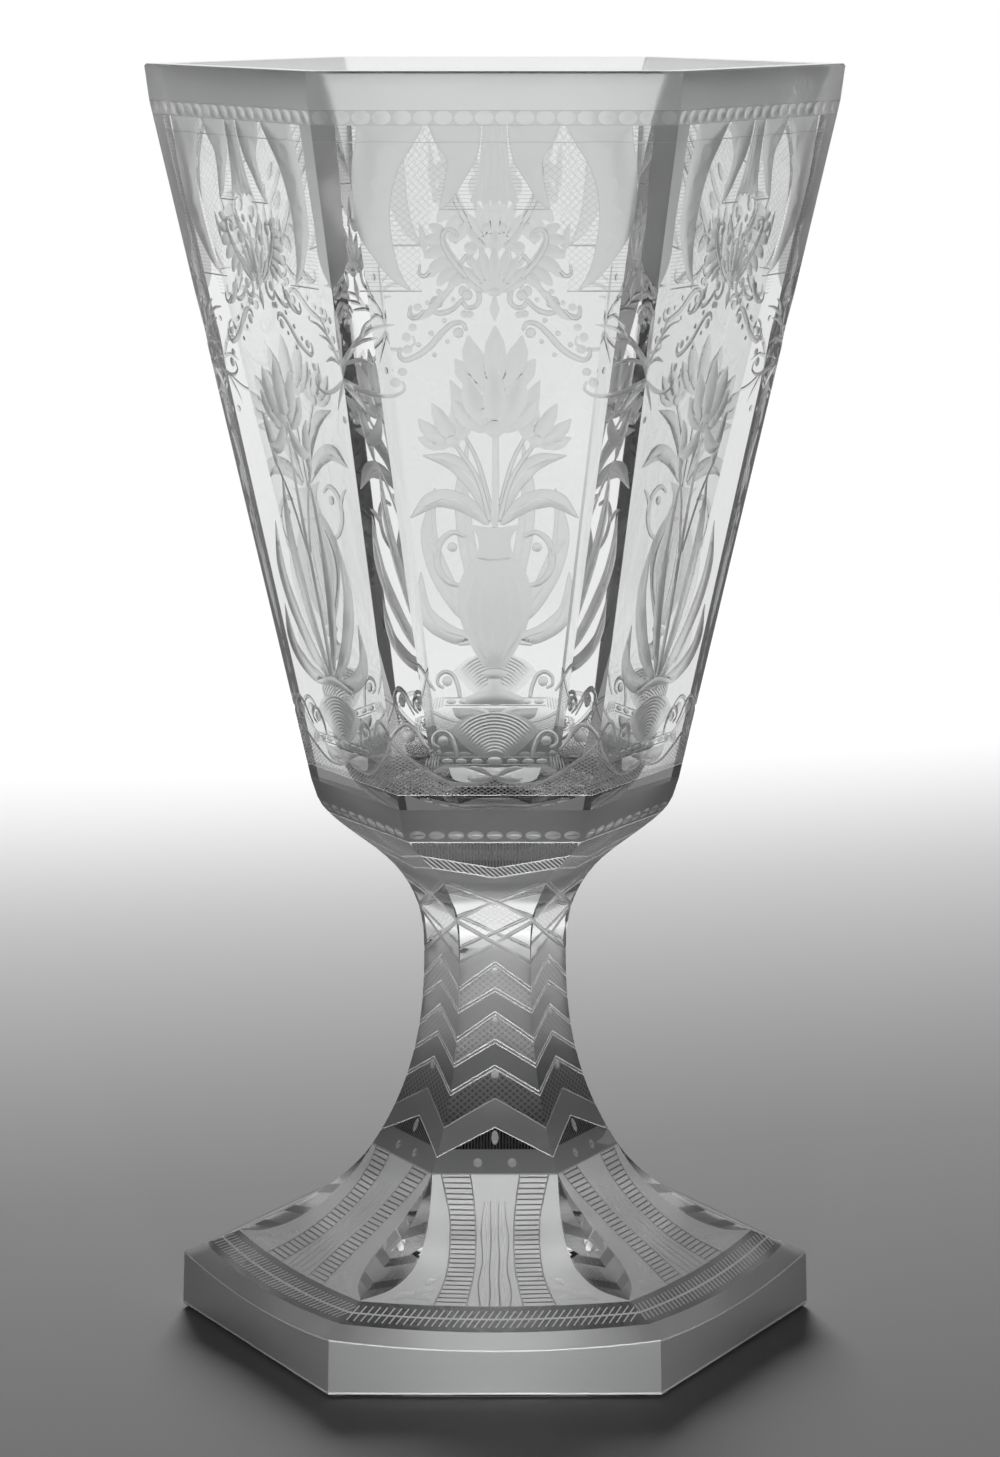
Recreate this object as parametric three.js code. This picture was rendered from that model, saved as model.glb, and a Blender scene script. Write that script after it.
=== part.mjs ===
// Engraved glass chalice: a tall six-sided bowl on a waisted stem and a spreading, stepped foot.
// Millimetres, +Z up. The origin is the centre of the foot's underside, on the table.
// It is three gathers of clear glass, fused while hot and then cut with flats all round:
// each gather is a solid of its own, and neighbours meet on a flat seam.

import * as THREE from 'three';

// Sizes named "corner" run from the axis to an arris, the edge between two flats.
const sides = 6;

// Heights of the three gathers, from the table up
const footHeight = 34;
const stemHeight = 58;
const bowlHeight = 158;

// A "lean" is how far the outline moves out for each millimetre that it rises.

// Bowl, outside
const rimCorner = 67.6;
const rimBandHeight = 7;         // matt band round the lip
const rimBandSpread = 0.85;      // how far the band leans out over its height
const girdleCorner = 36.6;       // upper edge of the band under the wall
const girdleBandHeight = 3.7;
const girdleBandSpread = 1.2;
const shoulderHeight = 13.8;     // from the seam up to the band
const shoulderLean = 0.35;
const lipBevel = 0.4;

// Bowl, inside
const lipWall = 5.3;             // across the flat of the wall
const lipLeanInside = 0.6;       // the wall thickens fast under the lip
const upperWall = 10.8;
const upperWallHeight = 113;     // where it has grown to that
const floorWall = 12;
const floorThickness = 15.5;     // glass between the seam and the inside's lowest point
const floorRounding = 13;        // height over which the inside turns from wall to floor
const floorRoundness = 0.6;      // 0 is a straight slope to the middle, 1 is a square corner

// Stem
const bowlSeamCorner = 20.1;
const bowlSeamLean = 0.9;
const waistCorner = 14.2;
const waistHeight = 39.7;        // above the lower seam
const footSeamCorner = 24.9;
const footSeamLean = -0.66;

// Foot
const footCorner = 63.6;
const sideHeight = 11.4;         // upright side, at the arris
const sideDip = 2.2;             // how much lower the side ends at the middle of a flat
const sideLeanIn = 0.4;          // the side comes in this much over its height
const chamferRun = 4.4;
const chamferRise = 2.6;
const chamferBulge = 2;          // how far the chamfer's upper edge bows out along a flat
const bevelRun = 6.8;
const bevelRise = 3;
const flareBulge = 0.9;          // the same at the flare's lower edge, none at its top
const flareLean = -2.4;
const footEdge = 0.5;            // small bevel where the side meets the table
const pontilWidth = 34;          // ground and polished hollow under the foot
const pontilDepth = 1.2;
const pontilRings = 3;

const curveSteps = 14;
const pullShare = 1 / 3;         // where a curve's inner points lie along its height
const plainSteps = 1;            // divisions along one flat where the flats are plane
const bowedSteps = 8;            // the same where they bow

// Looks
const glassColour = 0xe9ecec;
const glassOpacity = 0.5;
const polishedRoughness = 0.1;
const partlyMattRoughness = 0.35;
const mattRoughness = 0.45;

const halfAngle = Math.PI / sides;
const flatShare = Math.cos(halfAngle);   // distance to a flat, for a corner of 1

// Rows along a smooth curve through its end rows, without the first.
function curve(start, startPull, endPull, end) {
  const bezier = new THREE.CubicBezierCurve(
    new THREE.Vector2(start.corner, start.z),
    new THREE.Vector2(startPull.corner, startPull.z),
    new THREE.Vector2(endPull.corner, endPull.z),
    new THREE.Vector2(end.corner, end.z),
  );
  return bezier.getPoints(curveSteps).slice(1).map((p) => ({ corner: p.x, z: p.y }));
}

// A curve that leaves and arrives with a given lean.
function sweep(start, startLean, end, endLean) {
  const pull = (end.z - start.z) * pullShare;
  return curve(
    start,
    { corner: start.corner + startLean * pull, z: start.z + pull },
    { corner: end.corner - endLean * pull, z: end.z - pull },
    end,
  );
}

// A closed solid turned from a profile, with flats in place of a round section. The first arris
// lies along +X. A row may bow its flats out, dip them in the middle, or stay round.
function turnWithFlats(rows, steps) {
  const profile = rows.map((row) => new THREE.Vector2(row.corner, row.z));
  const solid = new THREE.LatheGeometry(profile, sides * steps, Math.PI / 2);
  solid.rotateX(Math.PI / 2);
  const position = solid.attributes.position;
  for (let i = 0; i < position.count; i += 1) {
    const row = rows[i % rows.length];
    const spoke = Math.floor(i / rows.length);
    const step = spoke % steps;
    if (row.round || step === 0) {
      continue;
    }
    const normal = (Math.floor(spoke / steps) + 0.5) * 2 * halfAngle;
    const fromMiddle = (step / steps) * 2 - 1;            // -1 and 1 at the arrises
    const bow = 1 - fromMiddle * fromMiddle;
    const out = row.corner * flatShare + (row.bulge ?? 0) * bow;
    const along = row.corner * Math.sin(halfAngle) * fromMiddle;
    position.setXYZ(
      i,
      out * Math.cos(normal) - along * Math.sin(normal),
      out * Math.sin(normal) + along * Math.cos(normal),
      row.z - (row.dip ?? 0) * bow,
    );
  }
  return solid;
}

function bowlGeometry() {
  const seam = { corner: bowlSeamCorner, z: 0 };
  const bandFoot = { corner: girdleCorner - girdleBandSpread, z: shoulderHeight };
  const wallFoot = { corner: girdleCorner, z: shoulderHeight + girdleBandHeight };
  const wallTop = { corner: rimCorner - rimBandSpread, z: bowlHeight - rimBandHeight };
  const outside = [
    { corner: 0, z: 0 },
    seam,
    ...sweep(seam, bowlSeamLean, bandFoot, shoulderLean),
    wallFoot,
    wallTop,
    { corner: rimCorner, z: bowlHeight - lipBevel },
    { corner: rimCorner - lipBevel, z: bowlHeight },
  ];

  const wallLean = (wallTop.corner - wallFoot.corner) / (wallTop.z - wallFoot.z);
  const insideAt = (height, wall) => ({
    corner: wallFoot.corner + wallLean * (height - wallFoot.z) - wall / flatShare,
    z: height,
  });
  const lip = { corner: rimCorner - lipWall / flatShare, z: bowlHeight - lipBevel };
  const turn = insideAt(floorThickness + floorRounding, floorWall);
  const inside = [
    { corner: lip.corner + lipBevel, z: bowlHeight },
    lip,
    ...sweep(lip, lipLeanInside, insideAt(upperWallHeight, upperWall), wallLean),
    turn,
    ...curve(
      turn,
      {
        corner: turn.corner - wallLean * floorRounding * floorRoundness,
        z: turn.z - floorRounding * floorRoundness,
      },
      { corner: turn.corner * floorRoundness, z: floorThickness },
      { corner: 0, z: floorThickness },
    ),
  ];
  return turnWithFlats([...outside, ...inside], plainSteps);
}

function stemGeometry() {
  const lowerSeam = { corner: footSeamCorner, z: 0 };
  const waist = { corner: waistCorner, z: waistHeight };
  const upperSeam = { corner: bowlSeamCorner, z: stemHeight };
  return turnWithFlats([
    { corner: 0, z: 0 },
    lowerSeam,
    ...sweep(lowerSeam, footSeamLean, waist, 0),
    ...sweep(waist, 0, upperSeam, bowlSeamLean),
    { corner: 0, z: stemHeight },
  ], plainSteps);
}

function footGeometry() {
  const sideTop = { corner: footCorner - sideLeanIn, z: sideHeight, dip: sideDip };
  const chamferTop = {
    corner: sideTop.corner - chamferRun,
    z: sideTop.z + chamferRise,
    bulge: chamferBulge,
  };
  const flareFoot = {
    corner: chamferTop.corner - bevelRun,
    z: chamferTop.z + bevelRise,
    bulge: flareBulge,
  };
  const seam = { corner: footSeamCorner, z: footHeight };
  const flare = sweep(flareFoot, flareLean, seam, footSeamLean).map((row) => ({
    ...row,
    bulge: flareBulge * (footHeight - row.z) / (footHeight - flareFoot.z),
  }));
  const pontil = [];
  for (let ring = 0; ring <= pontilRings; ring += 1) {
    const share = ring / pontilRings;
    pontil.push({
      corner: share * pontilWidth / 2,
      z: pontilDepth * (1 - share * share),
      round: true,
    });
  }
  return turnWithFlats([
    ...pontil,
    { corner: footCorner - footEdge, z: 0 },
    { corner: footCorner, z: footEdge },
    sideTop,
    chamferTop,
    flareFoot,
    ...flare,
    { corner: 0, z: footHeight },
  ], bowedSteps);
}

function clearGlass(roughness) {
  return new THREE.MeshStandardMaterial({
    color: glassColour,
    roughness,
    metalness: 0,
    transparent: true,
    opacity: glassOpacity,
  });
}

function piece(name, geometry, roughness, bottom) {
  const mesh = new THREE.Mesh(geometry, clearGlass(roughness));
  mesh.name = name;
  mesh.position.z = bottom;
  return mesh;
}

const chalice = new THREE.Group();
chalice.add(
  piece('foot', footGeometry(), partlyMattRoughness, 0),
  piece('stem', stemGeometry(), mattRoughness, footHeight),
  piece('bowl', bowlGeometry(), polishedRoughness, footHeight + stemHeight),
);

export default chalice;
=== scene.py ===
# Engraved glass chalice: the looks of the bowl, the stem and the foot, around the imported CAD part.
# Sizes are in millimetres. Each flat is drawn on a panel: u runs across it from its middle and t
# runs up it, and the drawing is cut into a mesh, bent to the outline and repeated six times.

import math
import random

import bpy
import numpy as np
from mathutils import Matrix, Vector
from mathutils.geometry import delaunay_2d_cdt


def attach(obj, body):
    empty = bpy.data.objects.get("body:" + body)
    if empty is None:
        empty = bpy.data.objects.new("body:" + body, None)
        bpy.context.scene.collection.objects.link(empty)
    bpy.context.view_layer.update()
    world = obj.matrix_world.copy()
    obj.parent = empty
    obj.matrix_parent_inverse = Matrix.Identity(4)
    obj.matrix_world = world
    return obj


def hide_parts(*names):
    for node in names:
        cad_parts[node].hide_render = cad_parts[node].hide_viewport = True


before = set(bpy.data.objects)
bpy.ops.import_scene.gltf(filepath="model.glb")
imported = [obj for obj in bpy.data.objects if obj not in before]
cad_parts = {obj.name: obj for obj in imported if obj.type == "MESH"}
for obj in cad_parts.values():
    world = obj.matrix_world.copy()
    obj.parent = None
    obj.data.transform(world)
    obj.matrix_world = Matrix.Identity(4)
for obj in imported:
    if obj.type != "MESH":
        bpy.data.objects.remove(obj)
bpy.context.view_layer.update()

flats = 6
flatShare = math.cos(math.pi / flats)
flatTan = math.tan(math.pi / flats)
millimetre = 0.001

# How finely a drawing is cut, and how it turns into a surface
cutting = {
    "rowSpacing": 2.4, "acrossShare": 1.6,     # points in plain glass, up the panel and across it
    "bowedSteps": 16,                          # steps along a flat that bows or dips
    # points inside a hollow: their pitch, and how many pitches they keep from its edge and spine
    "grain": 0.85, "rowHeight": 0.87, "offEdge": 0.35, "offSpine": 0.6, "smallest": 2.2,
    "jitter": 0.1, "seed": 5,
    "curveStep": 0.6, "areaStep": 0.8, "scrollStep": 0.5, "ovalStep": 0.55, "ovalInner": 0.55,
    "lastGap": 0.3, "sameLevel": 1e-4, "tolerance": 1e-5,
    "depthShare": 0.6, "sharpAngle": 38, "mergeDistance": 2e-6,
}


# Outlines: corner is the distance from the axis to an arris

def cubic(a, b, c, d, s):
    return a * (1 - s) ** 3 + 3 * b * s * (1 - s) ** 2 + 3 * c * s * s * (1 - s) + d * s ** 3


def sweep(start, startLean, end, endLean, steps):
    # a curve that leaves and arrives with a given lean, as rows of corner and height
    rise = end[1] - start[1]
    pulls = start[0] + startLean * rise / 3, end[0] - endLean * rise / 3
    shares = [i / steps for i in range(1, steps + 1)]
    return [(cubic(start[0], *pulls, end[0], s), start[1] + rise * s) for s in shares]


def profile(rows, byHeight):
    # rows: corner, height, bulge, dip; the panel's t is the height itself or the length along it
    table = np.array([tuple(r) + (0.0,) * (4 - len(r)) for r in rows], float)
    if byHeight:
        t = table[:, 1].copy()
    else:
        steps = np.hypot(np.diff(table[:, 0]) * flatShare, np.diff(table[:, 1]))
        t = np.concatenate([[0.0], np.cumsum(steps)])
    return {"t": t, **dict(zip(("corner", "z", "bulge", "dip"), table.T))}


def at(outline, name, t):
    return np.interp(t, outline["t"], outline[name])


# Drawing on a panel

def smooth(points, step):
    # a Catmull-Rom curve through the points, at about even spacing
    p = [np.array(q, float) for q in points]
    out = []
    for i in range(len(p) - 1):
        p1, p2 = p[i], p[i + 1]
        p0 = p[i - 1] if i > 0 else 2 * p1 - p2
        p3 = p[i + 2] if i + 2 < len(p) else 2 * p2 - p1
        count = max(1, int(round(np.linalg.norm(p2 - p1) / step)))
        for k in range(count):
            s = k / count
            out.append(0.5 * (2 * p1 + (p2 - p0) * s + (2 * p0 - 5 * p1 + 4 * p2 - p3) * s * s
                              + (3 * p1 - p0 - 3 * p2 + p3) * s ** 3))
    return np.array(out + [p[-1]])


def shape(outline, finish="carved", depth=0.0, spine=None):
    return {"outline": np.array(outline, float), "finish": finish, "depth": depth, "over": False,
            "spine": np.zeros((0, 2)) if spine is None else np.array(spine, float)}


def over(*shapes):
    # these are cut into what lies under them, and don't part it
    return [{**s, "over": True} for s in shapes]


def mirrored(shapes):
    out = []
    for s in shapes:
        out.append(s)
        out.append({**s, "outline": s["outline"][::-1] * (-1, 1), "spine": s["spine"] * (-1, 1)})
    return out


def band(low, high, reach, finish):
    # a strip right across the flat; low and high are heights or (arris, middle) pairs
    def edge(level):
        side, middle = level if isinstance(level, tuple) else (level, level)
        beyond = middle + (side - middle) * (reach + 1) / reach
        return [(-reach - 1, beyond), (0, middle), (reach + 1, beyond)]
    return shape(edge(low) + edge(high)[::-1], finish)


def oval(cu, ct, ru, rt, depth=0.4, finish="carved"):
    count = max(8, int(round(2.2 * (ru + rt) / cutting["ovalStep"])))
    shrink = cutting["ovalInner"]
    turns = [2 * math.pi * i / count for i in range(count)]
    ring = [(cu + ru * math.cos(a), ct + rt * math.sin(a)) for a in turns]
    inner = [(cu + shrink * (u - cu), ct + shrink * (t - ct)) for u, t in ring[::2]]
    return shape(ring, finish, depth, [(cu, ct)] + inner)


def stroke(points, widths, depth=0.3, finish="carved", step=cutting["curveStep"]):
    # a ribbon along a curve; widths are spread along it, and both ends have a blunt point
    cap = 0.8
    mid = smooth(points, step)
    along = np.concatenate([[0], np.cumsum(np.linalg.norm(np.diff(mid, axis=0), axis=1))])
    share = along / along[-1]
    half = np.interp(share, np.linspace(0, 1, len(widths)), widths) / 2
    direction = np.gradient(mid, axis=0)
    direction /= np.linalg.norm(direction, axis=1)[:, None] + 1e-9
    side = np.stack([-direction[:, 1], direction[:, 0]], 1)
    left, right = mid + side * half[:, None], mid - side * half[:, None]
    startCap = [mid[0] - direction[0] * half[0] * cap]
    endCap = [mid[-1] + direction[-1] * half[-1] * cap]
    return shape(list(left) + endCap + list(right[::-1]) + startCap, finish, depth, mid[1:-1])


def line(points, width=0.35, depth=0.2, finish="line"):
    # a straight engraved line, or one with corners, as one narrow strip for each stretch
    made = []
    for a, b in zip(points[:-1], points[1:]):
        a, b = np.array(a, float), np.array(b, float)
        length = np.linalg.norm(b - a)
        side = np.array([a[1] - b[1], b[0] - a[0]]) / length * width / 2
        way = [a + (b - a) * s for s in np.linspace(0, 1, max(3, int(length / 2)))]
        ring = [p + side for p in way] + [p - side for p in way[::-1]]
        made += over(shape(ring, finish, depth, way[1:-1]))
    return made


def doubleLine(points, gap=0.75, width=0.2, finish="faintLine"):
    lift = np.array([0, gap / 2])
    # painted shade: the groove between the two lines is darker glass over a shallow cut
    return (line(points, gap - width, 0.1, "groove")
            + line([np.array(p) + lift for p in points], width, 0.2, finish)
            + line([np.array(p) - lift for p in points], width, 0.2, finish))


def edged(carving):
    # a deep cut with its thin dark edge all round; a long step leaves the outline's points as they are
    width, longStep = 0.14, 30.0
    ring = carving["outline"]
    return [carving] + over(stroke([*ring, ring[0]], [width, width], 0.0, "shadeLine", longStep))


def area(*edges, finish="matt", depth=0.0):
    # a closed shape whose outline is one or more curves, one after the other
    same = 0.02
    outline = []
    for edge in edges:
        outline += list(smooth(edge, cutting["areaStep"]))
    clean = [outline[0]]
    for p in outline[1:]:
        if np.linalg.norm(np.array(p) - clean[-1]) > same:
            clean.append(np.array(p, float))
    if np.linalg.norm(np.array(clean[0]) - clean[-1]) < same:
        clean.pop()
    return shape(clean, finish, depth)


def petal(root, tip, width, bend=0.0, depth=0.4, slim=0.35, blunt=0.25):
    # a pointed blade from root to tip, widest at two thirds; bend is its sideways bow
    root, tip = np.array(root, float), np.array(tip, float)
    way = tip - root
    side = np.array([-way[1], way[0]]) * bend
    points = [root, root + way * 0.33 + side * 0.75, root + way * 0.7 + side * 0.85, tip]
    return stroke(points, [width * slim, width * 0.85, width, width * 0.8, width * blunt], depth)


def leaf(root, tip, width, bend, slim=0.3, blunt=0.05):
    # a blade with a shallow middle rib
    made = edged(petal(root, tip, width, bend, 0.6, slim, blunt))
    root, tip = np.array(root, float), np.array(tip, float)
    way = tip - root
    side = np.array([-way[1], way[0]]) * bend
    made += over(stroke([root + way * 0.12 + side * 0.35, root + way * 0.5 + side * 0.88,
                         root + way * 0.88 + side * 0.4], [0.25, 0.35, 0.15], -0.1, "faintLine"))
    return made


def scroll(points, widths, ball=None, radius=0.9, depth=0.3):
    made = edged(stroke(points, widths, depth, step=cutting["scrollStep"]))
    return made + edged(oval(*ball, radius, radius, 0.4)) if ball else made


# From a drawn panel to one sixth of a piece

def insidePolygon(points, polygon):
    x, y = points[:, 0][:, None], points[:, 1][:, None]
    a, b = polygon, np.roll(polygon, -1, axis=0)
    rising = (a[:, 1] <= y) & (b[:, 1] > y)
    falling = (a[:, 1] > y) & (b[:, 1] <= y)
    with np.errstate(divide="ignore", invalid="ignore"):
        where = (b[:, 0] - a[:, 0]) * (y - a[:, 1]) / (b[:, 1] - a[:, 1]) + a[:, 0]
    left = x < where
    return (rising & left).sum(1) != (falling & left).sum(1)


def distanceTo(points, polygon):
    a, b = polygon, np.roll(polygon, -1, axis=0)
    edge = b - a
    length = np.maximum((edge ** 2).sum(1), 1e-12)
    best = np.full(len(points), 1e9)
    batch = 400
    for start in range(0, len(points), batch):
        p = points[start:start + batch][:, None, :]
        s = np.clip(((p - a) * edge).sum(2) / length, 0, 1)
        best[start:start + batch] = np.linalg.norm(p - (a + edge * s[:, :, None]), axis=2).min(1)
    return best


def hollowPoints(s, jitter):
    # points inside a hollow, on a triangular grid that is a little out of true
    grain, rowHeight, shift = cutting["grain"], cutting["rowHeight"], cutting["jitter"]
    ring = s["outline"]
    low, high = ring.min(0), ring.max(0)
    if (high - low).max() < cutting["smallest"] * grain:
        return []
    grid = [(low[0] + grain * (i + 0.5 * (j % 2)) + jitter.uniform(-shift, shift),
             low[1] + grain * rowHeight * j + jitter.uniform(-shift, shift))
            for i in range(int((high[0] - low[0]) / grain) + 2)
            for j in range(int((high[1] - low[1]) / grain / rowHeight) + 2)]
    grid = np.array(grid)
    grid = grid[insidePolygon(grid, ring)]
    if len(grid) == 0:
        return []
    far = distanceTo(grid, ring) > cutting["offEdge"] * grain
    if len(s["spine"]):
        gap = np.linalg.norm(grid[:, None] - s["spine"][None], axis=2).min(1)
        far &= gap > cutting["offSpine"] * grain
    return grid[far]


def drawPanel(outline, shapes, rows):
    # cuts the panel into triangles along every drawn line; later shapes lie over earlier ones
    t0, t1 = outline["t"][0], outline["t"][-1]

    def halfAt(t):
        return float(at(outline, "corner", t)) / 2

    rows = [r for r in rows if t0 < r < t1]
    sides = [(halfAt(t), t) for t in sorted(set([t0, t1] + rows))]
    border = [(-h, t) for h, t in sides] + sides[::-1]
    points, edges = [], []

    def addPath(path, closed):
        first, count = len(points), len(path)
        points.extend((float(a), float(b)) for a, b in path)
        edges.extend((first + i, first + (i + 1) % count) for i in range(count if closed else count - 1))

    addPath(border[::-1], True)
    for s in shapes:
        addPath(s["outline"], True)
    steps = cutting["bowedSteps"] if outline["bulge"].any() or outline["dip"].any() else 1
    for level in rows:
        addPath([(halfAt(level) * (2 * i / steps - 1), level) for i in range(steps + 1)], False)
    jitter = random.Random(cutting["seed"])
    for s in shapes:
        if s["depth"]:
            points.extend((float(a), float(b)) for a, b in s["spine"])
            points.extend((float(a), float(b)) for a, b in hollowPoints(s, jitter))
    spacing = cutting["rowSpacing"]
    level = t0 + spacing
    while level < t1 - cutting["lastGap"] * spacing:
        h = halfAt(level)
        count = max(2, int(round(2 * h / (spacing * cutting["acrossShare"]))))
        points.extend((-h + 2 * h * i / count, level) for i in range(1, count))
        level += spacing
    made = delaunay_2d_cdt([Vector(p) for p in points], edges, [], 0, cutting["tolerance"])
    flat = np.array([tuple(v) for v in made[0]])
    triangles = np.array(made[2])
    triangles = triangles[insidePolygon(flat[triangles].mean(1), np.array(border[::-1]))]
    middles = flat[triangles].mean(1)
    top = np.zeros(len(triangles), int)
    ground = np.zeros(len(triangles), int)
    for i, s in enumerate(shapes):
        ring = s["outline"]
        near = np.where(((middles > ring.min(0)) & (middles < ring.max(0))).all(1))[0]
        mine = near[insidePolygon(middles[near], ring)]
        top[mine] = i + 1
        if not s["over"]:
            ground[mine] = i + 1
    return flat, triangles, ground, top


def domeOf(points, s):
    away = distanceTo(points, s["outline"])
    share = np.clip(away / max(away.max(), 1e-6), 0, 1)
    return s["depth"] * (1 - (1 - share) ** 2)


def reliefOf(flat, triangles, ground, top, shapes):
    # how deep each point lies: nothing on a drawn line, deepest along the middle of a shape
    def within(number):
        owner = np.full(len(flat), -1)
        mixed = np.zeros(len(flat), bool)
        for corner in range(3):
            for point, shapeHere in zip(triangles[:, corner], number):
                if owner[point] < 0:
                    owner[point] = shapeHere
                elif owner[point] != shapeHere:
                    mixed[point] = True
        return np.where(mixed, -1, owner)

    depth = np.zeros(len(flat))
    for number, layer in ((within(ground), False), (within(top), True)):
        for i, s in enumerate(shapes):
            mine = np.where(number == i + 1)[0]
            if s["depth"] and s["over"] == layer and len(mine):
                depth[mine] += domeOf(flat[mine], s)
    return depth


def bend(outline, flat):
    # from the panel to the flat that faces -Y, with the direction in which it is cut
    reach, onArris = 0.2, 0.9995
    t = flat[:, 1]
    corner, z = at(outline, "corner", t), at(outline, "z", t)
    bulge, dip = at(outline, "bulge", t), at(outline, "dip", t)
    a = np.clip(flat[:, 0] / (corner / 2), -1, 1)
    a = np.where(np.abs(a) > onArris, np.sign(a), a)
    bow = 1 - a * a
    place = np.stack([a * corner / 2, -(corner * flatShare + bulge * bow), z - dip * bow], 1)
    ahead, behind = t + reach, t - reach
    outward = (at(outline, "corner", ahead) - at(outline, "corner", behind)) * flatShare
    upward = at(outline, "z", ahead) - at(outline, "z", behind)
    length = np.hypot(outward, upward)
    inward = np.stack([np.zeros(len(t)), upward / length, outward / length], 1)
    edge = np.abs(a) == 1
    inward[edge, 0] = -a[edge] * flatTan * inward[edge, 1]
    return place, inward, a


def sector(name, outline, shapes, rows, above, below):
    # one closed sixth of a piece: the drawn flat, then the plain rings beyond its two ends
    flat, triangles, ground, top = drawPanel(outline, shapes, rows)
    depth = reliefOf(flat, triangles, ground, top, shapes)
    place, inward, a = bend(outline, flat)
    finishOf = [0] + [finishes.index(s["finish"]) for s in shapes]
    points, cuts, inwards, uvs = list(place), list(depth), list(inward), list(flat)
    faces = [list(map(int, f)) for f in triangles]
    finish = [finishOf[i] for i in top]
    drawn = [int(i) for i in top]

    def addPoint(spot, uv):
        points.append(np.array(spot, float))
        cuts.append(0.0)
        inwards.append(np.zeros(3))
        uvs.append(np.array(uv, float))
        return len(points) - 1

    def spotOf(share, corner, z, section):
        if section == "round":
            angle = math.atan(share * flatTan)
            return corner * math.sin(angle), -corner * math.cos(angle), z
        return share * corner / 2, -corner * flatShare, z

    def addRing(ends, ring, upwards):
        # a ring is corner, height, section and finish; one with no corner closes the piece
        corner, z, section, finishName = ring
        kind = finishes.index(finishName)
        if corner == 0:
            made = [addPoint((0, 0, z), (0, 0))] * len(ends)
        else:
            made = [addPoint(spotOf(share, corner, z, section), (share * corner / 2, z))
                    for index, share in ends]
        for i in range(len(ends) - 1):
            face = [ends[i][0], ends[i + 1][0], made[i + 1], made[i]]
            if made[i] == made[i + 1]:
                face = face[:3]
            faces.append(face if upwards else face[::-1])
            finish.append(kind)
            drawn.append(-1 - kind)
        return [(m, share) for m, (index, share) in zip(made, ends)]

    for level, rings, upwards in ((outline["t"][-1], above, True), (outline["t"][0], below, False)):
        onLevel = np.abs(flat[:, 1] - level) < cutting["sameLevel"]
        ends = [(int(i), float(a[i])) for i in np.where(onLevel)[0]]
        ends.sort(key=lambda pair: pair[1])
        for ring in rings:
            ends = addRing(ends, ring, upwards)

    mesh = bpy.data.meshes.new(name)
    mesh.from_pydata([tuple(p * millimetre) for p in points], [], faces)
    for label, kind, domain, key, values in (
            ("cutDepth", "FLOAT", "POINT", "value", np.array(cuts)),
            ("inward", "FLOAT_VECTOR", "POINT", "vector", np.array(inwards).ravel()),
            ("finish", "INT", "FACE", "value", finish),
            ("drawn", "INT", "FACE", "value", drawn)):
        mesh.attributes.new(label, kind, domain).data.foreach_set(key, values)
    uvMap = mesh.uv_layers.new(name="panel")
    corners = np.zeros(len(mesh.loops), int)
    mesh.loops.foreach_get("vertex_index", corners)
    uvMap.data.foreach_set("uv", np.array(uvs)[corners].ravel())
    made = bpy.data.objects.new(name, mesh)
    bpy.context.scene.collection.objects.link(made)
    return made


# Shader and geometry trees

class Value:
    # a socket that takes part in Python sums
    def __init__(self, tree, socket):
        self.tree = tree
        self.socket = socket

    def join(self, operation, *others, clamp=False):
        return self.tree.add("ShaderNodeMath", {"operation": operation, "use_clamp": clamp},
                             dict(enumerate((self,) + others)))

    def __add__(self, other):
        return self.join("ADD", other)

    __radd__ = __add__

    def __sub__(self, other):
        return self.join("SUBTRACT", other)

    def __rsub__(self, other):
        return self.join("MULTIPLY", -1.0).join("ADD", other)

    def __mul__(self, other):
        return self.join("MULTIPLY", other)

    __rmul__ = __mul__

    def __truediv__(self, other):
        return self.join("DIVIDE", other)

    def __rtruediv__(self, other):
        return self.join("POWER", -1.0).join("MULTIPLY", other)

    def clamped(self):
        return self.join("ADD", 0.0, clamp=True)

    def line(self, pitch, width, softness):
        # 1 on thin lines that repeat along this value, 0 between them
        off = ((self / pitch).join("FRACT") - 0.5).join("ABSOLUTE")
        return ((width / pitch / 2 + softness / 2 - off) / softness).clamped()

    def beside(self, name):
        # another output of the same node
        return Value(self.tree, self.socket.node.outputs[name])


class Tree:
    def __init__(self, nodeTree):
        self.nodeTree = nodeTree
        self.nodeTree.nodes.clear()

    def feed(self, place, value):
        if isinstance(value, Value):
            self.nodeTree.links.new(value.socket, place)
        else:
            place.default_value = value

    def add(self, kind, settings=None, values=None, output=0):
        node = self.nodeTree.nodes.new(kind)
        for name, value in (settings or {}).items():
            setattr(node, name, value)
        for name, value in (values or {}).items():
            self.feed(node.inputs[name], value)
        return Value(self, node.outputs[output]) if len(node.outputs) else None


def newMaterial(name):
    material = bpy.data.materials.new(name)
    material.use_nodes = True
    return material, Tree(material.node_tree)


# Finishes of the glass: "tone" is how light one is, "rough" how matt, "clear" the share of light
# that passes, and "shade" the heights between which the tone falls off downwards, a painted shade
# toward the foot. A "pattern" is a mask of fine engraved lines, which have a tone, a roughness,
# a clearness and a depth of their own.

leadGlass = {"ior": 1.54, "cloudScale": 90.0, "cloudTone": 0.02, "red": 0.993}


def slanting(acrossShare, upShare, pitch, width, softness):
    def mask(across, up):
        return (across * acrossShare + up * upShare).line(pitch, width, softness)
    return mask


def crossed(acrossShare, upShare, pitch, width, softness):
    def mask(across, up):
        one = slanting(acrossShare, upShare, pitch, width, softness)(across, up)
        other = slanting(acrossShare, -upShare, pitch, width, softness)(across, up)
        return one.join("MAXIMUM", other)
    return mask


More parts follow.
